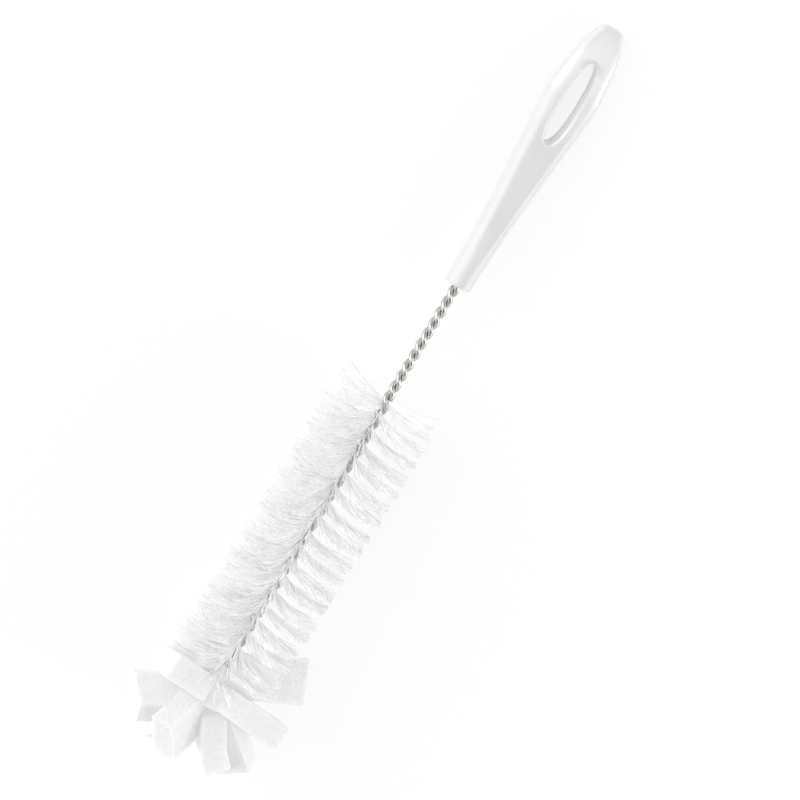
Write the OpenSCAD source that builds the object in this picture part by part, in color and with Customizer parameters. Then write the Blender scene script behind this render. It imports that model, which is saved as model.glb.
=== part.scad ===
// Bottle brush: a moulded handle on a stem of twisted wire, with a spiral of nylon bristles
// and a sponge head of five strips. Millimetres, +X towards the handle, +Z up.
// The brush lies as it comes to rest, on its uppermost bristles and the end of its handle.

/* [Handle] */
// Length of the handle
handle_l = 109.5; // [104:0.5:120]
// Diameter of the collar end that takes the wire
collar_d = 10.8; // [10:0.1:12]
// Greatest width of the handle, across its eye
grip_w = 20.4; // [19:0.1:22]
// Greatest thickness of the handle
grip_t = 11.6; // [11:0.1:13]
// Length of the eye
eye_l = 33.4; // [28:0.2:36]
// Width of the eye
eye_w = 7.4; // [6:0.1:8]
// Depth of the hollow moulded in each face
dish = 1.3; // [0.4:0.1:1.4]
// Depth of the bore that holds the wire
bore_l = 40; // [20:1:44]

/* [Wire stem] */
// Diameter of the wire
wire_d = 2; // [1.6:0.05:2]
// Length of the bare stem
bare_l = 49.6; // [40:0.2:60]
// Length of one turn of the bare stem
bare_pitch = 9.2; // [9:0.1:11]

/* [Bristles] */
// Length of the bristled stretch
bristle_l = 121.2; // [95:0.2:125]
// Diameter over the bristles
bristle_d = 42.6; // [36:0.2:46]
// Length of one turn of the bristles and of the wire between them
bristle_pitch = 12.94; // [12:0.02:14]
// Tufts in one turn
turn_tufts = 24; // [16:1:28]

/* [Sponge head] */
// Width of a sponge strip
strip_w = 18; // [15:0.5:19]
// Thickness of a sponge strip
strip_t = 9.5; // [8:0.5:10]
// Length of one turn of the wire between the strips
head_pitch = 9.4; // [9:0.1:10.5]

/* [Hidden] */

X = [1, 0, 0];
Y = [0, 1, 0];
Z = [0, 0, 1];
wire_r = wire_d / 2;

// Handle form: where it is widest, and where its eye lies
wide_x = 0.735 * handle_l;
eye_x = 0.718 * handle_l;
bore_d = 2 * wire_d + 0.2;
rim_r = 0.8;
FACE_STEPS = 16;
EYE_SIDES = 32;

// Twist of the wire: distances from the collar towards the tip
twist_start = -108.4;
blend_from = bare_l - 2;
blend_to = bare_l + 8;
bristle_end = bare_l + bristle_l;
wire_end = bristle_end + 18.5;
twist_end = wire_end - 1.5;
RING_SIDES = 8;
TURN_RINGS = 8;
// Half the gap between the strands: closed on the bare stem, opened by what they pinch
bare_gap = 0.03;
pinch_gap = 0.35;
core_t = 0.24;

// Lean of the odd and the even tufts along the stem, towards the handle, and half a tuft's
// length and width at its end
TUFT_LEAN = [-2.6, 0.2];
TUFT_HALF = [1.9, 1];
// How far the lowest bristles give under the brush's own weight
give = 2;

// Sponge strips: how far beyond the bristles each is pinched, how far its middle bulges out
// in front of the wire, then for its two petals the place of the end's centre from the wire
// [x, y, z], the direction across its width there and, if the petal twists, at its root
STRIPS = [
    [3, 0, [[8.8, -31.5, -12], [0.84, 0.47, -0.27]], [[-0.2, 13.7, -20], [0.8, 0.5, 0.3]]],
    [7, 6, [[-3.2, -30.1, 8], [0.27, 0.35, 0.9]], [[3.4, 22.6, 10], [0.28, 0.38, 0.87]]],
    [10.5, 0, [[-21.2, -23.9, -4.2], [0.63, -0.62, 0.47]], [[-11, 24.8, 5], [0.34, 0.33, -0.88]]],
    [15, 0,
        [[-18, -16.6, 8], [0.19, 0.22, 0.96], [0.46, -0.09, 0.83]],
        [[-18.5, 9.6, -19], [0.96, 0.18, -0.23]]],
    [13, 0, [[-13, -5, -27], [0.3, 1, 0]], [[-15.5, 9.7, 17], [-0.69, -0.55, -0.47]]]
];
// A petal springs straight out of the wire before it leans over: how far at its root
PETAL_LIFT = 1;
// Sections of a petal: share of its length, of its width and of its thickness
PETAL = [
    [0.14, 0.42, 0.5], [0.24, 0.7, 0.8], [0.4, 0.94, 1], [0.7, 1, 1], [1, 1, 1]
];
BULGED_PETAL = [
    [0.14, 0.6, 1], [0.26, 0.78, 1], [0.42, 0.94, 1], [0.7, 1, 1], [1, 1, 1]
];

function mix(a, b, t) = a + (b - a) * t;
function clamp(t) = max(0, min(1, t));
function smooth(a, b, t) = let (u = clamp((t - a) / (b - a))) u * u * (3 - 2 * u);
function unit(v) = v / norm(v);
function span(n) = [for (i = [0:n - 1]) i];

// ---- Handle ----
// Half the handle's width: it swells from the collar to the eye, then rounds in to a blunt tip
function swell(t) = (pow(t, 1.5) + smooth(0, 1, pow(t, 1.35))) / 2;
function close_in(t) = pow(1 - pow(0.945 * t, 1.5), 0.43);
function half_w(x) =
    x < wide_x ? mix(collar_d, grip_w, swell(x / wide_x)) / 2
    : grip_w / 2 * close_in((x - wide_x) / (handle_l - wide_x));
// Half its thickness: nearly even, thinned towards the tip
function half_t(x) =
    mix(collar_d, grip_t, smooth(0, wide_x, x)) / 2
    * (1 - 0.42 * pow(clamp((x - wide_x) / (handle_l - wide_x)), 2));
// Half the eye's width at a station
function eye_half(x) =
    let (u = clamp(abs(x - eye_x) / (eye_l / 2))) eye_w / 2 * pow(1 - pow(u, 2.4), 1 / 2.4);
// The hollow in a face: its depth, and half the width of its flat floor
function dish_depth(x) =
    dish * (0.45 + 0.55 * smooth(0, 0.5 * wide_x, x))
    * (1 - smooth(eye_x + eye_l / 2 - 2.5, eye_x + eye_l / 2 + 3, x));
function floor_half(x) =
    max(0.2 + 3.6 * pow(clamp(x / (0.53 * handle_l)), 1.2), eye_half(x) + 0.8);
// Height of the face over the middle plane
function crown(x, y) = pow(max(0, 1 - pow(abs(y) / half_w(x), 2.3)), 1 / 2.3) * half_t(x);
function face_z(x, y) =
    let (
        flat = min(floor_half(x), 0.7 * half_w(x)),
        slope = 0.5 * (half_w(x) - flat),
        keep = smooth(flat, flat + slope, abs(y))
    ) mix(crown(x, flat) - dish_depth(x), crown(x, y), keep);
// A station's outline: up over one face and back under the other
function handle_section(x, shrink) = [
    for (i = span(2 * FACE_STEPS))
        let (
            side = i < FACE_STEPS ? 1 : -1,
            y = half_w(x) * cos(180 * i / FACE_STEPS),
            z = side * face_z(x, y) * (i % FACE_STEPS == 0 ? 0 : 1),
            k = 1 - shrink / half_w(x),
            m = 1 - shrink / half_t(x)
        ) [x, y * k, z * m]
];
function handle_stations() = concat(
    [[0, rim_r], [rim_r * 0.29, rim_r * 0.29], [rim_r, 0]],
    [for (i = [1:26]) [4 * i / 108 * (handle_l - 5), 0]],
    [[handle_l - 2.6, 0], [handle_l - 1.2, 0], [handle_l - 0.4, 0.35], [handle_l, 1]]
);

// Closed solid through rings of points, each with the same count
module loft(rings) {
    n = len(rings[0]);
    last = len(rings) - 1;
    polyhedron(
        points = [for (ring = rings, p = ring) p],
        faces = concat(
            [span(n)],
            [
                for (r = span(last), i = span(n))
                    let (a = r * n + i, b = r * n + (i + 1) % n)
                    each [[a, a + n, b], [b, a + n, b + n]]
            ],
            [[for (i = span(n)) last * n + n - 1 - i]]
        )
    );
}

// The eye's outline, grown by the flare of its rim, as a ring at a height
function eye_ring(z, out) = [
    for (i = span(EYE_SIDES))
        let (a = 360 * i / EYE_SIDES, c = cos(a), s = sin(a))
        [
            (eye_l / 2 + out) * sign(c) * pow(abs(c), 2 / 2.4),
            (eye_w / 2 + out) * sign(s) * pow(abs(s), 2 / 2.4),
            z
        ]
];
// A plug the shape of the eye: straight through, then flared towards each face
module eye_plug() {
    face = face_z(eye_x, eye_w / 2 + 0.8);
    flare = [[face - 1.4, 0], [face - 0.5, 0.35], [face + 0.1, 1.2], [face + 2, 3]];
    loft([
        for (k = [len(flare) - 1:-1:0]) eye_ring(-flare[k][0], flare[k][1]),
        for (level = flare) eye_ring(level[0], level[1])
    ]);
}

module handle() {
    color("white")
        difference() {
            loft([for (s = handle_stations()) handle_section(s[0], s[1])]);
            translate([eye_x, 0, 0]) eye_plug();
            translate([-1, 0, 0])
                rotate([0, 90, 0]) cylinder(h = bore_l + 1, d = bore_d, $fn = 40);
        }
}

// ---- Wire stem ----
// Turns made at a distance from the collar: the twist slackens into the bristles
function turns(s) =
    let (
        bare = 1 / bare_pitch,
        loose = 1 / bristle_pitch,
        u = max(0, min(s, blend_to) - blend_from)
    )
    min(s, blend_from) * bare
    + u * bare + (loose - bare) * u * u / (2 * (blend_to - blend_from))
    + max(0, min(s, bristle_end) - blend_to) * loose
    + max(0, min(s, twist_end) - bristle_end) / head_pitch;
function strand_angle(s) = twist_start + 360 * turns(s);
function gap_angle(s) = strand_angle(s) + 90;
function strand_r(s) = wire_r + mix(bare_gap, pinch_gap, smooth(blend_from, blend_to, s));
function radial(a) = [0, cos(a), sin(a)];
function strand_point(s) = strand_r(s) * radial(strand_angle(s)) - s * X;
// A ring of wire round a point of its route, square to the route
function wire_ring(p, out, along) =
    let (t = unit(along), u = unit(out - (out * t) * t), v = cross(t, u))
    [for (i = span(RING_SIDES))
        p + wire_r * (cos(360 * i / RING_SIDES) * u + sin(360 * i / RING_SIDES) * v)];
function flip(p) = [p[0], -p[1], -p[2]];

module stem_wire() {
    step = 1 / TURN_RINGS;
    // Rings go by turns, so that every turn is equally round
    bare_n = ceil((blend_from + bore_l) / (bare_pitch * step));
    loose_n = ceil((twist_end - blend_from) / (bristle_pitch * step));
    route = concat(
        [for (i = [0:bare_n - 1]) mix(-bore_l, blend_from, i / bare_n)],
        [for (i = [0:loose_n]) mix(blend_from, twist_end, i / loose_n)],
        [wire_end]
    );
    down = [
        for (s = route)
            wire_ring(
                strand_point(s), radial(strand_angle(s)),
                s <= -bore_l ? -X : strand_point(s + 0.01) - strand_point(s - 0.01)
            )
    ];
    out = radial(strand_angle(wire_end));
    bend_r = strand_r(wire_end);
    bend = [
        for (b = [22.5:22.5:157.5])
            wire_ring(
                bend_r * (cos(b) * out - sin(b) * X) - wire_end * X,
                cos(b) * out - sin(b) * X, -sin(b) * out - cos(b) * X
            )
    ];
    back = [
        for (k = [len(route) - 1:-1:0])
            let (s = route[k])
            wire_ring(
                flip(strand_point(s)), -radial(strand_angle(s)),
                s <= -bore_l ? X : flip(strand_point(s - 0.01) - strand_point(s + 0.01))
            )
    ];
    color("silver") loft(concat(down, bend, back));
}

// ---- Bristles ----
// The filaments are pinched between the strands, so they leave the stem as one spiral fan.
// A thin core runs up the gap, and each step of it carries one tuft.
tuft_count = floor(turn_tufts * (turns(bristle_end) - turns(bare_l)));
function tuft_s(i) = mix(bare_l, bristle_end, i / tuft_count);
// A quad square to the gap: its reach from the axis, lean along the stem and half sizes
function fan_quad(s, reach, lean, half_l, half_t) =
    let (f = radial(gap_angle(s)), g = radial(gap_angle(s) + 90))
    [for (c = [[-1, 1], [-1, -1], [1, -1], [1, 1]])
        reach * f + (c[0] * half_l + lean - s) * X + c[1] * half_t * g];
// The first sponge strip lies over the last turn, so the tufts under its petals stay short
function under_strip(s) =
    s > bristle_end - 18
    && max([for (k = [2, 3]) unit(STRIPS[0][k][0]) * radial(gap_angle(s))]) > 0.25;
function tuft_reach(s) = under_strip(s) ? 3.2 : bristle_d / 2;
function free_tip(i) =
    let (s = tuft_s(i + 0.5), reach = tuft_reach(s), full = reach / (bristle_d / 2))
    fan_quad(
        s, reach, TUFT_LEAN[i % 2] * full,
        mix(0.25, TUFT_HALF[0], full), mix(0.25, TUFT_HALF[1], full)
    );
// A tip that would reach under the surface the brush lies on is pressed up to it
function tuft_tip(i) = [for (p = free_tip(i)) [p[0], p[1], max(p[2], floor_z(p[0]))]];
function quad_sides(a, b) = [
    for (k = span(4))
        let (n = (k + 1) % 4)
        each [[a[k], a[n], b[n]], [a[k], b[n], b[k]]]
];
function four(i) = [i, i + 1, i + 2, i + 3];

module bristles() {
    core_out = 1.2;
    core_in = 0.4;
    clear_r = 2.6;
    step_l = bristle_l / tuft_count;
    ribbon = [
        for (i = [0:tuft_count])
            let (s = tuft_s(i), f = radial(gap_angle(s)), g = radial(gap_angle(s) + 90))
            for (c = [[-core_in, -1], [-core_in, 1], [core_out, 1], [core_out, -1]])
                c[0] * f + c[1] * core_t * g - s * X
    ];
    collars = [
        for (i = span(tuft_count))
            each fan_quad(tuft_s(i + 0.5), clear_r, 0, 0.46 * step_l, core_t)
    ];
    tips = [for (i = span(tuft_count)) each tuft_tip(i)];
    first_collar = len(ribbon);
    first_tip = first_collar + len(collars);
    color("whitesmoke")
        polyhedron(
            points = concat(ribbon, collars, tips),
            faces = concat(
                [[3, 2, 1, 0]],
                [
                    for (i = span(tuft_count), k = [3, 0, 1])
                        let (a = 4 * i + k, b = 4 * i + (k + 1) % 4)
                        each [[a, b, a + 4], [a + 4, b, b + 4]]
                ],
                [
                    for (i = span(tuft_count))
                        let (
                            base = [4 * i + 2, 4 * i + 3, 4 * i + 7, 4 * i + 6],
                            low = four(first_collar + 4 * i),
                            top = four(first_tip + 4 * i)
                        )
                        each concat(
                            quad_sides(base, low), quad_sides(low, top),
                            [[top[0], top[1], top[2]], [top[0], top[2], top[3]]]
                        )
                ],
                [four(4 * tuft_count)]
            )
        );
}

// ---- Sponge head ----
// The nearest place to s where the gap between the strands faces a direction
function facing(s, v) =
    let (off = atan2(v[2], v[1]) - gap_angle(s), turn = off - 180 * round(off / 180))
    s + turn / 360 * head_pitch;
// A strip is pinched where the gap faces its petals; one that bulges lies over the wire
function pinch_at(strip) =
    let (s = bristle_end + strip[0])
    strip[1] > 0 ? s : facing(s, unit(strip[3][0]) - unit(strip[2][0]));
function pinch_point(strip) = [-pinch_at(strip), 0, strip[1]];
// Half the stretch of foam squeezed in the gap or bulging over the wire, and how much of a
// bulge's height its foam takes up
neck_half = 2.9;
bulge_share = 0.8;
// Corners of a section: its centre, half its width and half its thickness
function corners(c, w, t) = [c + w + t, c - w + t, c - w - t, c + w - t];
function petal_rings(strip, petal, travel) =
    let (
        p = petal[0] - [0, 0, strip[1]],
        dir = unit(p),
        out = unit([0, p[1], p[2]]),
        root = len(petal) > 2 ? petal[2] : petal[1]
    )
    [for (k = strip[1] > 0 ? BULGED_PETAL : PETAL)
        let (
            across = mix(root, petal[1], smooth(0.1, 0.9, k[0])),
            raw = unit(across - (across * dir) * dir),
            wide = raw * ((strip[1] > 0 ? raw[2] : raw[0]) < 0 ? -1 : 1),
            thick = cross(travel * dir, wide)
        )
        corners(
            pinch_point(strip) + k[0] * p + PETAL_LIFT * pow(1 - k[0], 2) * out,
            k[1] * strip_w / 2 * wide, k[2] * strip_t / 2 * thick
        )];
// The squeezed foam between the strands: it follows a direction out of the gap
function neck_rings(s, f) = [
    for (side = [-1, 0, 1]) corners(side * neck_half * f - s * X, 0.5 * X, 0.7 * core_t * cross(f, X))
];
function bulge_rings(strip) = [
    for (side = [-1, 0, 1])
        corners(
            pinch_point(strip) + side * neck_half * Y,
            bulge_share * strip[1] * Z, 0.5 * strip_t * X
        )
];
function reversed(list) = [for (i = [len(list) - 1:-1:0]) list[i]];

module petals(strip) {
    loft(concat(
        reversed(petal_rings(strip, strip[2], -1)),
        strip[1] > 0 ? bulge_rings(strip) : neck_rings(pinch_at(strip), gap_to(strip)),
        petal_rings(strip, strip[3], 1)
    ));
}
// The way out of the gap towards a strip's second petal
function gap_to(strip) =
    let (f = radial(gap_angle(pinch_at(strip)))) f * (f * strip[3][0] < 0 ? -1 : 1);
module neck(strip) {
    s = strip[1] > 0 ? facing(pinch_at(strip), Z) : pinch_at(strip);
    loft(neck_rings(s, radial(gap_angle(s))));
}
// The room taken by the twisted strands
module wire_room() {
    translate([-wire_end - 3, 0, 0])
        rotate([0, 90, 0]) cylinder(h = wire_end, r = wire_d + pinch_gap + 0.05, $fn = 24);
}
// Strips in the order in which they press the next ones aside
ORDER = [1, 4, 3, 2, 0];

module strip(n) {
    data = STRIPS[ORDER[n]];
    difference() {
        union() {
            difference() {
                petals(data);
                wire_room();
            }
            neck(data);
        }
        if (n > 0)
            for (m = span(n)) {
                petals(STRIPS[ORDER[m]]);
                neck(STRIPS[ORDER[m]]);
            }
    }
}

// ---- Rest ----
// The brush lies on two places: its lowest bristles, which give a little, and the lowest part
// of the handle's end. Its tilt is that of the line under both.
handle_points = [for (st = handle_stations()) each handle_section(st[0], st[1])];
low_handle = [for (p = handle_points) if (p[0] > handle_l / 2 && p[2] < 0) p];
low_tips = [
    for (i = span(tuft_count), p = free_tip(i))
        if (p[2] < -bristle_d / 3) p + give * Z
];
slope = max([
    for (b = low_tips) min([for (h = low_handle) (h[2] - b[2]) / (h[0] - b[0])])
]);
tilt = atan(slope);
floor_start = min([for (h = low_handle) h[2] - slope * h[0]]);
function floor_z(x) = floor_start + slope * x;

// The frame is centred on the whole brush
tuft_points = [for (i = span(tuft_count)) each tuft_tip(i)];
petal_points = [
    for (st = STRIPS, k = [2, 3]) each each petal_rings(st, st[k], 2 * k - 5)
];
function laid(p) = [p[0] * cos(tilt) + p[2] * sin(tilt), p[1], p[2] * cos(tilt) - p[0] * sin(tilt)];
all_laid = [for (p = concat(tuft_points, petal_points, handle_points)) laid(p)];
function axis_of(k) = [for (p = all_laid) p[k]];
rest_shift = [
    -(min(axis_of(0)) + max(axis_of(0))) / 2,
    -(min(axis_of(1)) + max(axis_of(1))) / 2,
    -min(axis_of(2))
];

module lie_down() {
    translate(rest_shift) rotate([0, tilt, 0]) children();
}

module foam_strip_1() { color("ivory") strip(4); }
module foam_strip_2() { color("ivory") strip(0); }
module foam_strip_3() { color("ivory") strip(3); }
module foam_strip_4() { color("ivory") strip(2); }
module foam_strip_5() { color("ivory") strip(1); }

lie_down() handle();
lie_down() stem_wire();
lie_down() bristles();
lie_down() foam_strip_1();
lie_down() foam_strip_2();
lie_down() foam_strip_3();
lie_down() foam_strip_4();
lie_down() foam_strip_5();
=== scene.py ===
import math
import random

import bmesh
import bpy
from bpy.props import FloatProperty, FloatVectorProperty, IntProperty, PointerProperty
from mathutils import Matrix, Vector, noise


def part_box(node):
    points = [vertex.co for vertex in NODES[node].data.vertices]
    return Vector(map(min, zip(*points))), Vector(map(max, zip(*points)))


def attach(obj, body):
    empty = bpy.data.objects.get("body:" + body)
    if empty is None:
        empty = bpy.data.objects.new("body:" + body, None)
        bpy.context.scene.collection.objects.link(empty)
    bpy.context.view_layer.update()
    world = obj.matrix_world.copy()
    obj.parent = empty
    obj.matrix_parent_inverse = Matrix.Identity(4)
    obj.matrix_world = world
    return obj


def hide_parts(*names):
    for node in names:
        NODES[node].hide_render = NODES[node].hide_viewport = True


bl_info = {
    "name": "Bottle brush",
    "version": (1, 0, 0),
    "blender": (4, 5, 0),
    "location": "View3D > Sidebar > Brush",
    "description": "Builds a bottle brush with a moulded handle, bristles and a sponge head",
    "category": "Object",
}

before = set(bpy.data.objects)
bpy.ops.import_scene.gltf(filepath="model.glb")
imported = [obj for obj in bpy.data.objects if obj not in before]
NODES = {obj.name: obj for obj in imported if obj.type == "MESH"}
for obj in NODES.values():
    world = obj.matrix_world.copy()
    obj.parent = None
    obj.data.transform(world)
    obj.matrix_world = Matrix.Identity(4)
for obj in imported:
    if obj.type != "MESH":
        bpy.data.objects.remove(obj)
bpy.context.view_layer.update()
BODY = "root"
MM = 0.001


# ---- The stem's own frame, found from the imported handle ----
def stem_matrix():
    """The axis of the handle is the stem's +X, and its collar face is x = 0."""
    points = [v.co.copy() for v in NODES["handle"].data.vertices]
    middle = sum(points, Vector()) / len(points)
    xx = sum((p.x - middle.x) ** 2 for p in points)
    zz = sum((p.z - middle.z) ** 2 for p in points)
    xz = sum((p.x - middle.x) * (p.z - middle.z) for p in points)
    turn = 0.5 * math.atan2(2 * xz, xx - zz)
    along = Vector((math.cos(turn), 0, math.sin(turn)))
    start = min((p - middle).dot(along) for p in points)
    low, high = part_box("handle")
    origin = middle + along * start
    origin.y = (low.y + high.y) / 2
    side = Vector((0, 1, 0))
    up = along.cross(side)
    matrix = Matrix((along, side, up)).transposed().to_4x4()
    matrix.translation = origin
    return matrix


STEM = stem_matrix()
HANDLE_L = max((STEM.inverted() @ v.co).x for v in NODES["handle"].data.vertices) / MM


def mix(a, b, t):
    """The value a share t of the way from a to b."""
    return a + (b - a) * t


def clamp(t):
    """The value kept between 0 and 1."""
    return max(0.0, min(1.0, t))


def smooth(a, b, t):
    """0 before a and 1 past b, with a soft step between."""
    u = clamp((t - a) / (b - a))
    return u * u * (3 - 2 * u)


def radial(angle):
    """Unit vector square to the stem at an angle in degrees, from +Y towards +Z."""
    return Vector((0, math.cos(math.radians(angle)), math.sin(math.radians(angle))))


# ---- Sizes in millimetres, angles in degrees and colours that a user would change ----
class HandleSettings(bpy.types.PropertyGroup):
    collar_d: FloatProperty(name="Collar", description="Diameter of the collar, mm", default=10.8)
    grip_w: FloatProperty(name="Grip width", description="Width across the eye, mm", default=20.4)
    grip_t: FloatProperty(name="Grip thickness", description="Thickness of the grip, mm", default=11.6)
    eye_l: FloatProperty(name="Eye length", description="Length of the eye, mm", default=33.4)
    eye_w: FloatProperty(name="Eye width", description="Width of the eye, mm", default=7.4)
    dish: FloatProperty(name="Dish", description="Depth of the hollow in a face, mm", default=0.25)
    colour: FloatVectorProperty(
        name="Plastic", description="Colour of the plastic", subtype="COLOR",
        default=(0.72, 0.72, 0.722), min=0, max=1,
    )


class WireSettings(bpy.types.PropertyGroup):
    wire_d: FloatProperty(name="Wire", description="Diameter of the wire, mm", default=2.0)
    bare_l: FloatProperty(name="Bare stem", description="Length of bare stem, mm", default=49.6)
    bare_pitch: FloatProperty(name="Bare turn", description="One turn of bare stem, mm", default=9.2)
    head_pitch: FloatProperty(name="Head turn", description="One turn in the sponge, mm", default=9.4)
    start: FloatProperty(name="Start", description="Twist at the collar, degrees", default=-108.4)
    colour: FloatVectorProperty(
        name="Steel", description="Colour of the wire", subtype="COLOR",
        default=(0.63, 0.62, 0.6), min=0, max=1,
    )


class BristleSettings(bpy.types.PropertyGroup):
    length: FloatProperty(name="Length", description="Length of the bristled stretch, mm", default=121.2)
    diameter: FloatProperty(name="Diameter", description="Diameter over the bristles, mm", default=42.6)
    pitch: FloatProperty(name="Turn", description="One turn of the fan, mm", default=12.94)
    per_turn: IntProperty(name="Filaments", description="Filament ends in one turn", default=760)
    filament_d: FloatProperty(name="Filament", description="Diameter of a filament, mm", default=0.32)
    colour: FloatVectorProperty(
        name="Nylon", description="Colour of the filaments", subtype="COLOR",
        default=(0.97, 0.97, 0.97), min=0, max=1,
    )


class SpongeSettings(bpy.types.PropertyGroup):
    strip_w: FloatProperty(name="Strip width", description="Width of a strip, mm", default=18.0)
    strip_t: FloatProperty(name="Strip thickness", description="Thickness of a strip, mm", default=9.5)
    cell: FloatProperty(name="Cell", description="Size of the sponge's cells, mm", default=0.55)
    colour: FloatVectorProperty(
        name="Sponge", description="Colour of the sponge", subtype="COLOR",
        default=(0.685, 0.683, 0.678), min=0, max=1,
    )


class StageSettings(bpy.types.PropertyGroup):
    lean: FloatProperty(name="Lean", description="Camera towards the handle, degrees", default=10.9)
    roll: FloatProperty(name="Side", description="Camera to the side, degrees", default=13.0)
    slant: FloatProperty(name="Slant", description="Brush's slant in the view, degrees", default=58.6)
    across: FloatProperty(name="Across", description="Width of the view, mm", default=292.0)
    distance: FloatProperty(name="Distance", description="Camera distance, mm", default=1300.0)
    shift_x: FloatProperty(name="Collar right", description="Collar right of middle, mm", default=20.8)
    shift_y: FloatProperty(name="Collar up", description="Collar above middle, mm", default=41.8)


def settings(name):
    """One of the scene's groups of settings."""
    return getattr(bpy.context.scene, "brush_" + name)


# ---- Materials ----
# Strengths of the painted glow that stands in for light scattered within the nylon and the sponge
NYLON_PAINTED_GLOW = 0.13
SPONGE_PAINTED_GLOW = 0.18


def new_material(name, colour, rough, metal=0.0):
    """A material with its Principled shader set, its node tree and a reader of Object places."""
    material = bpy.data.materials.new(name)
    material.use_nodes = True
    tree = material.node_tree
    shader = tree.nodes["Principled BSDF"]
    shader.inputs["Base Color"].default_value = (*colour, 1)
    shader.inputs["Roughness"].default_value = rough
    shader.inputs["Metallic"].default_value = metal
    place = tree.nodes.new("ShaderNodeTexCoord")
    return material, tree, shader, place.outputs["Object"]


def add_noise(tree, place, size, detail=3.0, stretch=None):
    """A noise with features of a size in millimetres, stretched along the object if asked."""
    node = tree.nodes.new("ShaderNodeTexNoise")
    node.inputs["Scale"].default_value = 1 / (size * MM)
    node.inputs["Detail"].default_value = detail
    if stretch:
        mapping = tree.nodes.new("ShaderNodeMapping")
        mapping.inputs["Scale"].default_value = stretch
        tree.links.new(place, mapping.inputs["Vector"])
        place = mapping.outputs["Vector"]
    tree.links.new(place, node.inputs["Vector"])
    return node.outputs["Fac"]


def add_ramp(tree, value, stops):
    """Colours along a value: stops are (place, colour)."""
    node = tree.nodes.new("ShaderNodeValToRGB")
    elements = node.color_ramp.elements
    while len(elements) < len(stops):
        elements.new(0.5)
    for element, (place, colour) in zip(elements, stops):
        element.position = place
        element.color = (*colour, 1)
    tree.links.new(value, node.inputs["Fac"])
    return node.outputs["Color"]


def add_bump(tree, shader, height, depth, strength=1.0):
    """Relief of a depth in millimetres from a height."""
    node = tree.nodes.new("ShaderNodeBump")
    node.inputs["Strength"].default_value = strength
    node.inputs["Distance"].default_value = depth * MM
    tree.links.new(height, node.inputs["Height"])
    tree.links.new(node.outputs["Normal"], shader.inputs["Normal"])


def shade(colour, k):
    """A colour made lighter or darker by a factor."""
    return tuple(clamp(c * k) for c in colour)


def handle_plastic():
    """Glossy white plastic with a faint change of tone."""
    colour = tuple(settings("handle").colour)
    material, tree, shader, place = new_material("handle_plastic", colour, 0.24)
    shader.inputs["Specular IOR Level"].default_value = 0.9
    shader.inputs["Coat Weight"].default_value = 0.8
    shader.inputs["Coat Roughness"].default_value = 0.12
    tone = add_noise(tree, place, 14, 2)
    tree.links.new(
        add_ramp(tree, tone, [(0.3, shade(colour, 0.985)), (0.7, shade(colour, 1.01))]),
        shader.inputs["Base Color"],
    )
    add_bump(tree, shader, add_noise(tree, place, 0.5, 2), 0.01, 0.25)
    return material


def wire_steel():
    """Bright drawn wire with darker patches in its zinc."""
    colour = tuple(settings("wire").colour)
    material, tree, shader, place = new_material("wire_steel", colour, 0.3, 1.0)
    tone = add_noise(tree, place, 0.8, 4)
    tree.links.new(
        add_ramp(tree, tone, [(0.35, shade(colour, 0.72)), (0.65, shade(colour, 1.15))]),
        shader.inputs["Base Color"],
    )
    rough = add_noise(tree, place, 0.4, 3)
    tree.links.new(
        add_ramp(tree, rough, [(0.3, (0.1,) * 3), (0.7, (0.2,) * 3)]),
        shader.inputs["Roughness"],
    )
    add_bump(tree, shader, add_noise(tree, place, 0.15, 3), 0.006, 0.25)
    return material


def nylon():
    """White filaments, each of its own tone; the faint glow is painted light that stands in for light
    passed on among them.
    """
    colour = tuple(settings("bristles").colour)
    material, tree, shader, _ = new_material("nylon", colour, 0.35)
    tone = tree.nodes.new("ShaderNodeAttribute")
    tone.attribute_name = "tone"
    tree.links.new(
        add_ramp(tree, tone.outputs["Fac"], [
            (0.0, shade(colour, 0.72)), (0.35, shade(colour, 0.95)), (1.0, shade(colour, 1.02)),
        ]),
        shader.inputs["Base Color"],
    )
    # Painted glow: the filaments give off a faint light of their own in place of light scattered among
    # them
    shader.inputs["Emission Color"].default_value = (1, 1, 1, 1)
    shader.inputs["Emission Strength"].default_value = NYLON_PAINTED_GLOW
    return material


def sponge():
    """Soft open-cell sponge; the faint glow is painted light that stands in for light coming through its
    thin petals.
    """
    own = settings("sponge")
    colour = tuple(own.colour)
    material, tree, shader, place = new_material("sponge", colour, 0.92)
    cells = tree.nodes.new("ShaderNodeTexVoronoi")
    cells.inputs["Scale"].default_value = 1 / (own.cell * MM)
    tree.links.new(place, cells.inputs["Vector"])
    tone = add_noise(tree, place, 0.7, 4)
    tree.links.new(
        add_ramp(tree, tone, [(0.3, shade(colour, 0.95)), (0.7, shade(colour, 1.04))]),
        shader.inputs["Base Color"],
    )
    shader.inputs["Specular IOR Level"].default_value = 0.15
    shader.inputs["Subsurface Weight"].default_value = 0.6
    shader.inputs["Subsurface Radius"].default_value = (1, 0.95, 0.9)
    shader.inputs["Subsurface Scale"].default_value = 3 * MM
    # Painted glow: the sponge gives off a faint light of its own in place of light coming through its
    # petals
    shader.inputs["Emission Color"].default_value = (1, 1, 1, 1)
    shader.inputs["Emission Strength"].default_value = SPONGE_PAINTED_GLOW
    add_bump(tree, shader, cells.outputs["Distance"], 0.25, 0.5)
    return material


# ---- Finishing a piece ----
def finish_piece(piece, material, slot, *nodes):
    """Gives a piece its material and its CAD body, and hides the CAD nodes it stands for; the slot is
    not used.
    """
    piece.data.materials.clear()
    piece.data.materials.append(material)
    for face in piece.data.polygons:
        face.use_smooth = True
    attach(piece, BODY)
    if nodes:
        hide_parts(*nodes)
    return piece


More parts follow.
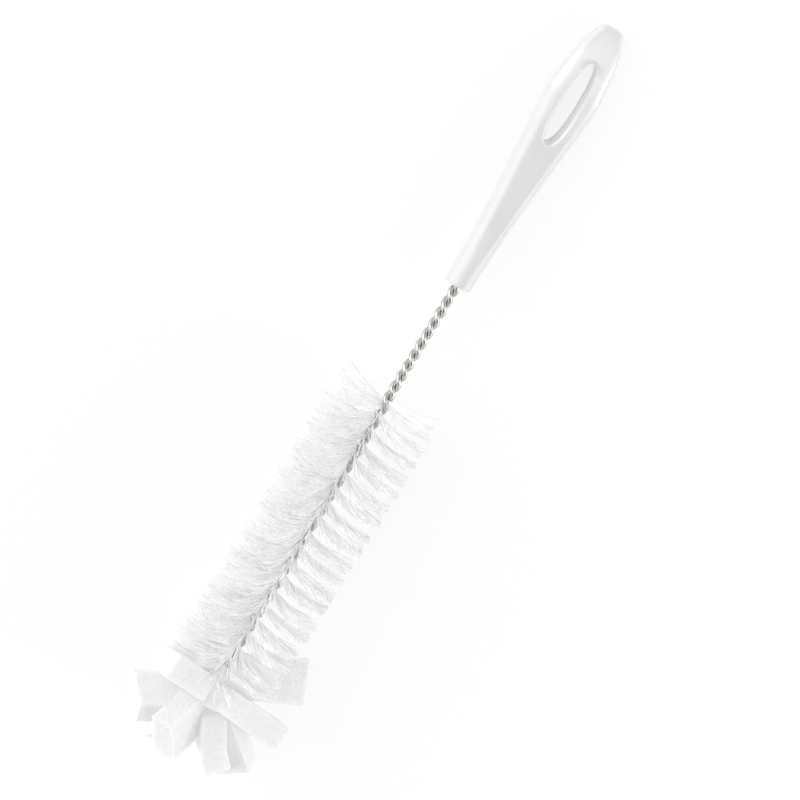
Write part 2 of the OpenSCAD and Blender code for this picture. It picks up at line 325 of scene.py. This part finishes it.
def add_object(name, data):
    """A new object at the origin, linked to the scene."""
    piece = bpy.data.objects.new(name, data)
    bpy.context.scene.collection.objects.link(piece)
    return piece


def apply_modifiers(piece):
    """Bakes the modifiers of a piece into its mesh."""
    graph = bpy.context.evaluated_depsgraph_get()
    mesh = bpy.data.meshes.new_from_object(piece.evaluated_get(graph))
    piece.modifiers.clear()
    old, piece.data = piece.data, mesh
    bpy.data.meshes.remove(old)


# ---- Handle ----
# Shares of the handle's length at which it is widest, its eye has its middle, and the flat
# floor of its hollows stops widening
WIDEST_AT = 0.735
EYE_AT = 0.718
FLOOR_AT = 0.53
# The eye's outline is a superellipse of this power, with at least this much flat beside it
EYE_POWER = 2.4
EYE_RIM = 0.8
# Share of the thickness lost at the tip, and millimetres lost over a stretch of the grip
TIP_THINS = 0.42
GRIP_THINS = 0.55
GRIP_THINS_OVER = (60, 92)
# Power of the section's superellipse at the collar and on the grip, and what is added to it
# beside the eye and beyond it
COLLAR_POWER = 2.0
GRIP_POWER = 2.4
EYE_SQUARER = 0.6
TONGUE_SQUARER = 0.9
# Points in one ring of the skin, rings between its ends, and the rounding of the collar's face
RING = 200
RINGS = 200
COLLAR_RIM = 0.8
# How far back from the tip each last ring lies, and how far its edge is drawn in
TIP_RINGS = ((2.2, 0), (1.4, 0), (0.8, 0.1), (0.3, 0.4), (0, 1.0))
EYE_POINTS = 96
VOXEL = 0.27


class HandleForm:
    """The handle's outline, thickness and hollows along the stem, in millimetres."""

    def __init__(self):
        self.own = settings("handle")
        self.wide_x = WIDEST_AT * HANDLE_L
        self.eye_x = EYE_AT * HANDLE_L

    def half_w(self, x):
        """Half width: a slow swell to the widest place, then a blunt round tongue."""
        own = self.own
        if x < self.wide_x:
            t = max(0.0, x / self.wide_x)
            swell = (t**1.5 + smooth(0, 1, t**1.35)) / 2
            return mix(own.collar_d, own.grip_w, swell) / 2
        t = (x - self.wide_x) / (HANDLE_L - self.wide_x)
        return own.grip_w / 2 * (1 - (0.945 * t) ** 1.5) ** 0.43

    def half_t(self, x):
        """Half thickness: the collar's grows to the grip's, then thins towards the tip."""
        own = self.own
        tip = clamp((x - self.wide_x) / (HANDLE_L - self.wide_x))
        even = mix(own.collar_d, own.grip_t, smooth(0, self.wide_x, x)) / 2
        return even * (1 - TIP_THINS * tip**2) - GRIP_THINS * smooth(*GRIP_THINS_OVER, x)

    def eye_half(self, x):
        """Half width of the eye, and 0 beyond its ends."""
        u = clamp(abs(x - self.eye_x) / (self.own.eye_l / 2))
        return self.own.eye_w / 2 * (1 - u**EYE_POWER) ** (1 / EYE_POWER)

    def floor_half(self, x):
        """Half width of a hollow's flat floor, which stays wider than the eye."""
        opened = 0.2 + 3.6 * clamp(x / (FLOOR_AT * HANDLE_L)) ** 1.2
        return min(max(opened, self.eye_half(x) + EYE_RIM), 0.7 * self.half_w(x))

    def crown(self, x, y):
        """Height of the full face: the section is round at the collar and squarer later."""
        power = mix(COLLAR_POWER, GRIP_POWER, smooth(0, 60, x))
        power += EYE_SQUARER * smooth(60, 70, x)
        power += TONGUE_SQUARER * smooth(self.eye_x + 12, self.eye_x + 20, x)
        return max(0.0, 1 - (abs(y) / self.half_w(x)) ** power) ** (1 / power) * self.half_t(x)

    def face_z(self, x, y):
        """Height of the face with its hollow: a flat floor, sunk by the dish from the crown,
        that blends into the crown beside it and ends before the tip."""
        own = self.own
        end = own.eye_l / 2 + 2
        whole, flat = self.crown(x, y), self.floor_half(x)
        level = self.crown(x, flat) - own.dish * smooth(10, self.eye_x - 16, x)
        even = smooth(8, 25, x) * (1 - smooth(self.eye_x + end - 6, self.eye_x + end, x))
        sunk = mix(whole, level, even)
        return mix(sunk, whole, smooth(flat, flat + 0.75 * (self.half_w(x) - flat), abs(y)))


def handle_ring(bm, form, x, shrink):
    """One closed ring of the handle's skin, made as a circle and drawn to its section."""
    made = bmesh.ops.create_circle(bm, segments=RING, radius=1)
    for vert in made["verts"]:
        angle = math.atan2(vert.co.y, vert.co.x)
        y = form.half_w(x) * math.cos(angle)
        z = form.face_z(x, y) * (1 if math.sin(angle) > 0 else -1)
        if abs(math.sin(angle)) < 1e-6:
            z = 0
        k, m = 1 - shrink / form.half_w(x), 1 - shrink / form.half_t(x)
        vert.co = Vector((x, y * k, z * m)) * MM
    verts = set(made["verts"])
    return [e for e in bm.edges if e.verts[0] in verts and e.verts[1] in verts]


def handle_solid(form):
    """The handle's skin before its eye is cut."""
    rim = COLLAR_RIM
    stations = [
        (rim * (1 - math.cos(math.radians(a))), rim * (1 - math.sin(math.radians(a))))
        for a in range(0, 90, 15)
    ]
    stations += [(mix(rim, HANDLE_L - 3, i / RINGS), 0) for i in range(RINGS + 1)]
    stations += [(HANDLE_L - back, shrink) for back, shrink in TIP_RINGS]
    bm = bmesh.new()
    rings = [handle_ring(bm, form, x, shrink) for x, shrink in stations]
    for low, high in zip(rings, rings[1:]):
        bmesh.ops.bridge_loops(bm, edges=low + high)
    for ring in (rings[0], rings[-1]):
        bmesh.ops.contextual_create(bm, geom=ring)
    bmesh.ops.recalc_face_normals(bm, faces=bm.faces)
    mesh = bpy.data.meshes.new("handle_solid")
    bm.to_mesh(mesh)
    bm.free()
    return mesh


def eye_cutter(form):
    """A tall plug of the eye's outline, flared where it leaves each face."""
    own = form.own
    face = form.face_z(form.eye_x, own.eye_w / 2 + EYE_RIM)
    levels = [
        (0.6, 0),
        (face - 0.5, 0.05),
        (face - 0.15, 0.25),
        (face + 0.1, 0.6),
        (face + 0.6, 1.6),
    ]
    levels = [(-z, out) for z, out in reversed(levels)] + levels
    bm = bmesh.new()
    rings = []
    for z, out in levels:
        made = bmesh.ops.create_circle(bm, segments=EYE_POINTS, radius=1)
        for vert in made["verts"]:
            c, s = vert.co.x, vert.co.y
            x = (own.eye_l / 2 + out) * math.copysign(abs(c) ** (2 / EYE_POWER), c) + form.eye_x
            y = (own.eye_w / 2 + out) * math.copysign(abs(s) ** (2 / EYE_POWER), s)
            vert.co = Vector((x, y, z)) * MM
        verts = set(made["verts"])
        rings.append([e for e in bm.edges if e.verts[0] in verts and e.verts[1] in verts])
    for low, high in zip(rings, rings[1:]):
        bmesh.ops.bridge_loops(bm, edges=low + high)
    for ring in (rings[0], rings[-1]):
        bmesh.ops.contextual_create(bm, geom=ring)
    bmesh.ops.recalc_face_normals(bm, faces=bm.faces)
    mesh = bpy.data.meshes.new("eye_cutter")
    bm.to_mesh(mesh)
    bm.free()
    return mesh


class BRUSH_OT_handle(bpy.types.Operator):
    """Moulds the handle with its eye and hollow faces"""

    bl_idname = "brush.handle"
    bl_label = "Handle"

    def execute(self, context):
        form = HandleForm()
        piece = add_object("handle_shell", handle_solid(form))
        cutter = add_object("eye_cutter", eye_cutter(form))
        cut = piece.modifiers.new("eye", "BOOLEAN")
        cut.object = cutter
        cut.operation = "DIFFERENCE"
        cut.solver = "EXACT"
        skin = piece.modifiers.new("skin", "REMESH")
        skin.mode = "VOXEL"
        skin.voxel_size = VOXEL * MM
        soften = piece.modifiers.new("soften", "SMOOTH")
        soften.factor = 0.5
        soften.iterations = 16
        apply_modifiers(piece)
        bpy.data.objects.remove(cutter)
        piece.data.transform(STEM)
        finish_piece(piece, handle_plastic(), "handle_plastic", "handle")
        return {"FINISHED"}


# ---- Wire stem ----
# How far the wire goes on past the bristles, and how far short of that its twist ends
HEAD_L = 18.5
FOLD_L = 1.5
# The twist opens from the bare stem's turn to the bristles' between these, from the bare end
BLEND = (-2, 8)
# Half the gap between the strands, bare and with bristles in it
BARE_GAP = 0.01
PINCH_GAP = 0.35
# Length of wire inside the handle, length of a step along a strand, degrees in one of the fold
BORE = 39.5
STEP = 0.4
FOLD_STEP = 18


class Twist:
    """The twist of the two strands along the stem, and the gap between them."""

    def __init__(self):
        self.own = settings("wire")
        self.fan = settings("bristles")
        self.blend_from = self.own.bare_l + BLEND[0]
        self.blend_to = self.own.bare_l + BLEND[1]
        self.bristle_end = self.own.bare_l + self.fan.length
        self.wire_end = self.bristle_end + HEAD_L
        self.twist_end = self.wire_end - FOLD_L

    def turns(self, s):
        """Turns made from the collar to a place s millimetres towards the tip."""
        bare, loose = 1 / self.own.bare_pitch, 1 / self.fan.pitch
        u = max(0.0, min(s, self.blend_to) - self.blend_from)
        return (
            min(s, self.blend_from) * bare
            + u * bare + (loose - bare) * u * u / (2 * (self.blend_to - self.blend_from))
            + max(0.0, min(s, self.bristle_end) - self.blend_to) * loose
            + max(0.0, min(s, self.twist_end) - self.bristle_end) / self.own.head_pitch
        )

    def strand_angle(self, s):
        """Direction of the first strand from the axis, in degrees."""
        return self.own.start + 360 * self.turns(s)

    def gap_angle(self, s):
        """Direction of one side of the gap between the strands, in degrees."""
        return self.strand_angle(s) + 90

    def strand_r(self, s):
        """Distance of a strand's middle from the axis."""
        gap = mix(BARE_GAP, PINCH_GAP, smooth(self.blend_from, self.blend_to, s))
        return self.own.wire_d / 2 + gap

    def strand_point(self, s):
        """A place on the first strand, in the stem's frame."""
        return self.strand_r(s) * radial(self.strand_angle(s)) - Vector((s, 0, 0))


class BRUSH_OT_stem(bpy.types.Operator):
    """Folds one wire in half and twists its two strands"""

    bl_idname = "brush.stem"
    bl_label = "Wire stem"

    def execute(self, context):
        twist = Twist()
        count = int((twist.wire_end + BORE) / STEP)
        down = [twist.strand_point(mix(-BORE, twist.wire_end, i / count)) for i in range(count + 1)]
        out = radial(twist.strand_angle(twist.wire_end))
        reach = twist.strand_r(twist.wire_end)
        fold = [
            reach * (math.cos(b) * out - math.sin(b) * Vector((1, 0, 0)))
            - Vector((twist.wire_end, 0, 0))
            for b in (math.radians(a) for a in range(FOLD_STEP, 180, FOLD_STEP))
        ]
        back = [Vector((p.x, -p.y, -p.z)) for p in reversed(down)]
        route = [STEM @ (p * MM) for p in down + fold + back]
        curve = bpy.data.curves.new("stem_wire", "CURVE")
        curve.dimensions = "3D"
        curve.bevel_depth = twist.own.wire_d / 2 * MM
        curve.bevel_resolution = 6
        curve.use_fill_caps = True
        spline = curve.splines.new("POLY")
        spline.points.add(len(route) - 1)
        for point, place in zip(spline.points, route):
            point.co = (*place, 1)
        drawn = add_object("stem_curve", curve)
        graph = context.evaluated_depsgraph_get()
        mesh = bpy.data.meshes.new_from_object(drawn.evaluated_get(graph))
        bpy.data.objects.remove(drawn)
        finish_piece(add_object("twisted_wire", mesh), wire_steel(), "wire", "stem_wire")
        return {"FINISHED"}


# ---- Bristles ----
# How far a filament's end leans to the tip, and how far a clump of them leans with it: where
# they are loose, and where they are combed, for each side of the gap
LOOSE_LEAN = 1.9
COMBED_LEAN = (2.4, 3.8)
LOOSE_CLUMP_LEAN = 2.1
COMBED_CLUMP_LEAN = (0.5, 1.2)
# Degrees by which filaments and clumps spread about the gap, and by which combed ones swing
SPREAD = 6
CLUMP_SPREAD = 5
COMBED_SWING = 8
# Share of the filaments that are short, and by about how much
SHORT_SHARE = 0.3
SHORT_BY = 1.5
# Steps along a filament, and how far above the floor it is laid where it would pass through
FILAMENT_STEPS = 5
FLOOR_GAP = 0.2
CLUMP = 11
PIECES = 10
SPLAY_L = 7
SEED = 7


def filament(twist, rng, s, side_of_gap, clump, splay):
    """The route of one end of a filament: out of one side of the gap, leaning to the tip.
    The fans are loose to one side of the brush and combed into pairs to the other."""
    fan = twist.fan
    angle = twist.gap_angle(s) + 180 * side_of_gap
    combed = smooth(-0.3, 0.4, -radial(angle).y)
    lean = mix(LOOSE_LEAN, COMBED_LEAN[side_of_gap], combed)
    lean += clump[0] * mix(LOOSE_CLUMP_LEAN, COMBED_CLUMP_LEAN[side_of_gap], combed)
    angle += (clump[1] + rng.gauss(0, SPREAD)) * mix(1, 0.5, combed) - COMBED_SWING * combed
    reach = fan.diameter / 2 + rng.gauss(0, 0.4)
    if rng.random() < SHORT_SHARE:
        reach -= abs(rng.gauss(0, SHORT_BY))
    end_lean = lean + rng.gauss(0, mix(1.0, 0.55, combed)) + splay * rng.gauss(-2.2, 3.6)
    bow = rng.gauss(1.2, 0.7)
    curl = rng.gauss(0, 1.0)
    root = Vector((-s - rng.gauss(0, 0.15), 0, 0)) + 0.2 * radial(angle)
    side = radial(angle + 90)
    points = []
    for k in range(FILAMENT_STEPS + 1):
        t = k / FILAMENT_STEPS
        along = -(end_lean * t + bow * math.sin(math.pi * t))
        place = (
            root + Vector((along, 0, 0))
            + reach * t * radial(angle) + curl * t * t * side
        )
        place = STEM @ (place * MM)
        place.z = max(place.z, FLOOR_GAP * MM)
        points.append(place)
    return points


class BRUSH_OT_bristles(bpy.types.Operator):
    """Grows the nylon filaments out of both sides of the gap between the strands"""

    bl_idname = "brush.bristles"
    bl_label = "Bristles"

    def execute(self, context):
        twist = Twist()
        fan = twist.fan
        rng = random.Random(SEED)
        material = nylon()
        first, last = twist.own.bare_l, twist.bristle_end
        turns = twist.turns(last) - twist.turns(first)
        per_turn = fan.per_turn
        total = int(turns * per_turn)
        for part in range(PIECES):
            curve = bpy.data.curves.new("bristles", "CURVE")
            curve.dimensions = "3D"
            curve.bevel_depth = fan.filament_d / 2 * MM
            curve.bevel_resolution = 0
            curve.use_fill_caps = True
            clumps = [(0, 0), (0, 0)]
            for i in range(part * total // PIECES, (part + 1) * total // PIECES):
                if i % CLUMP == 0:
                    clumps = [(rng.gauss(0, 1), rng.gauss(0, CLUMP_SPREAD)) for _ in range(2)]
                side = i % 2
                s = mix(first, last, (i + rng.random()) / total)
                splay = 1 - smooth(first, first + SPLAY_L, s)
                out = radial(twist.gap_angle(s) + 180 * side)
                # Fewer stand straight up over the wire, or below on the combed side
                thinned = 0.7 * smooth(0.8, 0.96, out.z)
                thinned += 0.85 * smooth(0.1, 0.5, -out.z) * smooth(-0.4, 0.1, -out.y)
                if rng.random() < 0.45 * splay + thinned:
                    continue
                route = filament(twist, rng, s, side, clumps[side], splay)
                spline = curve.splines.new("POLY")
                spline.points.add(len(route) - 1)
                flat = []
                for p in route:
                    flat.extend((*p, 1))
                spline.points.foreach_set("co", flat)
            count = len(curve.splines)
            drawn = add_object("fan_curve", curve)
            graph = context.evaluated_depsgraph_get()
            mesh = bpy.data.meshes.new_from_object(drawn.evaluated_get(graph))
            bpy.data.objects.remove(drawn)
            tones = mesh.attributes.new("tone", "FLOAT", "POINT")
            each = len(mesh.vertices) // count
            values = [rng.random() for _ in range(count)]
            tones.data.foreach_set("value", [values[i // each] for i in range(each * count)])
            piece = add_object(f"bristle_fan_{part + 1:02d}", mesh)
            finish_piece(piece, material, "nylon", *(["bristles"] if part == 0 else []))
        return {"FINISHED"}


# ---- Sponge head ----
# Each strip: where it is pinched beyond the bristles, how far its neck bulges to the front,
# then for its two petals the place of the end's centre from the pinch and the direction
# across its width, in the stem's frame
STRIPS = (
    (3, 0, ((8.8, -31.5, -12), (0.84, 0.47, -0.27)), ((-0.2, 13.7, -20), (0.8, 0.5, 0.3))),
    (7, 6, ((-3.2, -30.1, 8), (0.27, 0.35, 0.9)), ((3.4, 22.6, 10), (0.28, 0.38, 0.87))),
    (10.5, 0, ((-21.2, -23.9, -4.2), (0.63, -0.62, 0.47)), ((-11, 24.8, 5), (0.34, 0.33, -0.88))),
    (15, 0, ((-18, -16.6, 8), (0.19, 0.22, 0.96), (0.46, -0.09, 0.83)),
     ((-18.5, 9.6, -19), (0.96, 0.18, -0.23))),
    (13, 0, ((-13, -5, -27), (0.3, 1, 0)), ((-15.5, 9.7, 17), (-0.69, -0.55, -0.47))),
)
# A petal springs straight out of the wire before it leans over: how far at its root
PETAL_LIFT = 1.0
# Sections of a petal: share of its length, of its width and of its thickness
BULGED_PETAL = ((0.14, 0.6, 1), (0.26, 0.78, 1), (0.42, 0.94, 1), (0.7, 1, 1), (1, 1, 1))
PETAL = ((0.1, 0.6, 0.72), (0.2, 0.88, 0.95), (0.34, 0.98, 1), (0.7, 1, 1), (1, 1, 1))
# The neck between two petals: its half length, and half its width and thickness where the
# wire squeezes it and where it bulges over the wire
NECK_HALF = 2.9
PINCHED_NECK = (4.5, 3.2)
BULGED_NECK = (4.8, 4.75)
# Cuts along, across and through a strip
CUTS = (150, 44, 24)
# The sponge's relief: size of its lumps and fine grain, how far each moves the skin with the
# cells, and how far all of it is drawn in
LUMP = 5
GRAIN = 0.9
CELL_RELIEF = 0.12
GRAIN_RELIEF = 0.3
LUMP_RELIEF = 0.3
DRAWN_IN = 0.2


def pinch_at(twist, strip):
    """The place nearest to a strip's own where the gap faces its petals."""
    s = twist.bristle_end + strip[0]
    across = Vector(strip[3][0]).normalized() - Vector(strip[2][0]).normalized()
    off = math.degrees(math.atan2(across.z, across.y)) - twist.gap_angle(s)
    turn = off - 180 * round(off / 180)
    return s + turn / 360 * twist.own.head_pitch


def strip_sections(twist, strip):
    """Sections through a strip from end to end: centre, half width and half thickness."""
    own = settings("sponge")
    bulge = strip[1]
    s = twist.bristle_end + strip[0] if bulge else pinch_at(twist, strip)
    pinch = Vector((-s, 0, bulge))
    gap = radial(twist.gap_angle(s))
    if gap.dot(Vector(strip[3][0])) < 0:
        gap = -gap
    along_x = Vector((1, 0, 0))

    def petal(data, travel):
        place, end, root = Vector(data[0]), Vector(data[1]), Vector(data[-1])
        place.z -= bulge
        direction = place.normalized()
        out = Vector((0, place.y, place.z)).normalized()
        rings = []
        for k, w, t in BULGED_PETAL if bulge else PETAL:
            wide = root.lerp(end, smooth(0.1, 0.9, k))
            wide = (wide - wide.dot(direction) * direction).normalized()
            if (wide.z if bulge else wide.x) < 0:
                wide = -wide
            thick = (travel * direction).cross(wide)
            centre = pinch + k * place + PETAL_LIFT * (1 - k) ** 2 * out
            rings.append((centre, w * own.strip_w / 2 * wide, t * own.strip_t / 2 * thick))
        return rings

    if bulge:
        wide, thick = Vector((0, 0, BULGED_NECK[0])), Vector((BULGED_NECK[1], 0, 0))
        neck = [(pinch + side * NECK_HALF * Vector((0, 1, 0)), wide, thick) for side in (-1, 0, 1)]
    else:
        wide, thick = PINCHED_NECK[0] * along_x, PINCHED_NECK[1] * gap.cross(along_x)
        neck = [(pinch + side * NECK_HALF * gap, wide, thick) for side in (-1, 0, 1)]
    return petal(strip[2], -1)[::-1] + neck + petal(strip[3], 1)


def strip_mesh(name, sections):
    """A finely divided box drawn along the sections."""
    own = settings("sponge")
    bm = bmesh.new()
    bmesh.ops.create_cube(bm, size=2)
    for axis, cuts in enumerate(CUTS):
        edges = [
            e for e in bm.edges
            if abs(abs((e.verts[0].co - e.verts[1].co)[axis]) - 2) < 1e-4
        ]
        bmesh.ops.subdivide_edges(bm, edges=edges, cuts=cuts, use_grid_fill=True)
    marks = [0.0]
    for a, b in zip(sections, sections[1:]):
        marks.append(marks[-1] + (a[0] - b[0]).length)
    shift = Vector((noise_place(name), 0, 0))
    for vert in bm.verts:
        run = (vert.co.x + 1) / 2 * marks[-1]
        k = next(i for i in range(len(sections) - 1) if run <= marks[i + 1] + 1e-6)
        t = (run - marks[k]) / (marks[k + 1] - marks[k])
        centre = sections[k][0].lerp(sections[k + 1][0], t)
        wide = sections[k][1].lerp(sections[k + 1][1], t)
        thick = sections[k][2].lerp(sections[k + 1][2], t)
        vert.co = centre + vert.co.y * wide + vert.co.z * thick
    bmesh.ops.recalc_face_normals(bm, faces=bm.faces)
    bm.normal_update()
    for vert in bm.verts:
        cell = noise.noise(vert.co / own.cell + shift)
        lump = noise.noise(vert.co / LUMP + shift)
        grain = noise.noise(vert.co / GRAIN + shift)
        relief = CELL_RELIEF * cell + GRAIN_RELIEF * grain + LUMP_RELIEF * lump
        vert.co += vert.normal * (relief - DRAWN_IN)
    for vert in bm.verts:
        vert.co = STEM @ (vert.co * MM)
        vert.co.z = max(vert.co.z, 0)
    mesh = bpy.data.meshes.new(name)
    bm.to_mesh(mesh)
    bm.free()
    return mesh


def noise_place(name):
    """A different place in the noise for each strip."""
    return 13.0 * int(name[-1])


class BRUSH_OT_sponge(bpy.types.Operator):
    """Pinches the sponge strips across the wire's end"""

    bl_idname = "brush.sponge"
    bl_label = "Sponge head"

    def execute(self, context):
        twist = Twist()
        material = sponge()
        for number, strip in enumerate(STRIPS, 1):
            name = f"sponge_strip_{number}"
            piece = add_object(name, strip_mesh(name, strip_sections(twist, strip)))
            finish_piece(piece, material, "sponge", f"foam_strip_{number}")
        return {"FINISHED"}


# ---- Stage ----
# The tent's light: an even level, then soft patches added to it. Each has the direction of its
# middle in the stem's frame, the cosines at which it starts and is full, and its strength.
# They are the two side walls, a dimmer place over the handle, and a bright band across the
# tent just past the upright, which the fifth starts and the sixth ends
TENT = (
    ((0, 0, 1), 0, 1, 0.48),
    ((-0.1, 0.966, 0.259), 0.35, 0.96, 1.1),
    ((-0.1, -0.996, -0.087), 0.3, 0.95, 1.2),
    ((-0.19, -0.5, 0.84), 0.8, 0.99, -0.38),
    ((1, 0, 0), -0.1, 0.01, 1.7),
    ((1, 0, 0), 0.13, 0.26, -1.58),
)


# Share of white that the camera and gloss see in the floor, its size in metres, the camera's
# sensor in millimetres and how far it sees in metres
FLOOR_LIFT = 0.8
FLOOR_SIZE = 4
SENSOR_W = 36
SEES_TO = 20


def floor_material():
    """Pale floor: what the camera and gloss see of it is lifted to white, its shadow kept."""
    material, tree, shader, _ = new_material("floor", (0.96, 0.96, 0.96), 0.9)
    shader.inputs["Specular IOR Level"].default_value = 0.0
    seen = tree.nodes.new("ShaderNodeLightPath")
    either = tree.nodes.new("ShaderNodeMath")
    either.operation = "MAXIMUM"
    tree.links.new(seen.outputs["Is Camera Ray"], either.inputs[0])
    tree.links.new(seen.outputs["Is Glossy Ray"], either.inputs[1])
    share = tree.nodes.new("ShaderNodeMath")
    share.operation = "MULTIPLY"
    share.inputs[1].default_value = FLOOR_LIFT
    tree.links.new(either.outputs[0], share.inputs[0])
    white = tree.nodes.new("ShaderNodeEmission")
    white.inputs["Strength"].default_value = 1.0
    blend = tree.nodes.new("ShaderNodeMixShader")
    tree.links.new(share.outputs[0], blend.inputs[0])
    tree.links.new(shader.outputs[0], blend.inputs[1])
    tree.links.new(white.outputs[0], blend.inputs[2])
    tree.links.new(blend.outputs[0], tree.nodes["Material Output"].inputs["Surface"])
    return material


def light_tent(world, stem):
    """Soft light all round the brush, as the sum of the even level and its patches."""
    world.use_nodes = True
    tree = world.node_tree
    white = tree.nodes["Background"]
    white.inputs["Color"].default_value = (1, 1, 1, 1)
    place = tree.nodes.new("ShaderNodeTexCoord")
    total = None
    for toward, edge, full, strength in TENT:
        dot = tree.nodes.new("ShaderNodeVectorMath")
        dot.operation = "DOT_PRODUCT"
        dot.inputs[1].default_value = stem @ Vector(toward).normalized()
        tree.links.new(place.outputs["Generated"], dot.inputs[0])
        patch = tree.nodes.new("ShaderNodeMapRange")
        patch.interpolation_type = "SMOOTHSTEP"
        patch.inputs["From Min"].default_value = edge
        patch.inputs["From Max"].default_value = full
        patch.inputs["To Max"].default_value = strength
        tree.links.new(dot.outputs["Value"], patch.inputs["Value"])
        if total is None:
            patch.inputs["To Min"].default_value = strength
            total = patch.outputs["Result"]
        else:
            join = tree.nodes.new("ShaderNodeMath")
            join.operation = "ADD"
            tree.links.new(total, join.inputs[0])
            tree.links.new(patch.outputs["Result"], join.inputs[1])
            total = join.outputs[0]
    tree.links.new(total, white.inputs["Strength"])


class BRUSH_OT_stage(bpy.types.Operator):
    """Sets the floor, the soft light and the camera"""

    bl_idname = "brush.stage"
    bl_label = "Stage"

    def execute(self, context):
        own = settings("stage")
        bm = bmesh.new()
        bmesh.ops.create_grid(bm, x_segments=1, y_segments=1, size=FLOOR_SIZE)
        mesh = bpy.data.meshes.new("floor")
        bm.to_mesh(mesh)
        bm.free()
        floor = add_object("floor", mesh)
        floor.data.materials.append(floor_material())

        lean, roll = math.radians(own.lean), math.radians(own.roll)
        turn = STEM.to_3x3()
        toward = Vector((
            math.sin(lean),
            math.sin(roll) * math.cos(lean),
            math.cos(roll) * math.cos(lean),
        ))
        toward = (turn @ toward).normalized()
        axis = turn @ Vector((1, 0, 0))
        up_brush = (axis - axis.dot(toward) * toward).normalized()
        left_brush = toward.cross(up_brush)
        slant = math.radians(own.slant)
        right = math.cos(slant) * up_brush - math.sin(slant) * left_brush
        up = math.sin(slant) * up_brush + math.cos(slant) * left_brush
        context.scene.world = bpy.data.worlds.new("tent")
        light_tent(context.scene.world, turn)
        camera = add_object("camera", bpy.data.cameras.new("camera"))
        aim = STEM.translation - own.shift_x * MM * right - own.shift_y * MM * up
        matrix = Matrix((right, up, toward)).transposed().to_4x4()
        matrix.translation = aim + toward * own.distance * MM
        camera.matrix_world = matrix
        camera.data.sensor_width = SENSOR_W
        camera.data.lens = SENSOR_W * own.distance / own.across
        camera.data.clip_end = SEES_TO
        context.scene.camera = camera
        context.scene.view_settings.view_transform = "Standard"
        return {"FINISHED"}


class BRUSH_PT_panel(bpy.types.Panel):
    """Lists the brush's pieces in the sidebar"""

    bl_label = "Bottle brush"
    bl_idname = "BRUSH_PT_panel"
    bl_space_type = "VIEW_3D"
    bl_region_type = "UI"
    bl_category = "Brush"

    def draw(self, context):
        for operator in OPERATORS:
            self.layout.operator(operator.bl_idname)
        for name in GROUPS:
            box = self.layout.box()
            box.label(text=name.title())
            group = getattr(context.scene, "brush_" + name)
            for prop in group.bl_rna.properties:
                if prop.identifier not in ("rna_type", "name"):
                    box.prop(group, prop.identifier)


OPERATORS = (BRUSH_OT_stage, BRUSH_OT_handle, BRUSH_OT_stem, BRUSH_OT_bristles, BRUSH_OT_sponge)
GROUPS = {
    "handle": HandleSettings,
    "wire": WireSettings,
    "bristles": BristleSettings,
    "sponge": SpongeSettings,
    "stage": StageSettings,
}


def register():
    for kind in (*GROUPS.values(), *OPERATORS, BRUSH_PT_panel):
        bpy.utils.register_class(kind)
    for name, kind in GROUPS.items():
        setattr(bpy.types.Scene, "brush_" + name, PointerProperty(type=kind))


def unregister():
    for name in GROUPS:
        delattr(bpy.types.Scene, "brush_" + name)
    for kind in reversed((*GROUPS.values(), *OPERATORS, BRUSH_PT_panel)):
        bpy.utils.unregister_class(kind)


def main():
    register()
    bpy.ops.brush.stage()
    bpy.ops.brush.handle()
    bpy.ops.brush.stem()
    bpy.ops.brush.bristles()
    bpy.ops.brush.sponge()


if __name__ == "__main__":
    main()
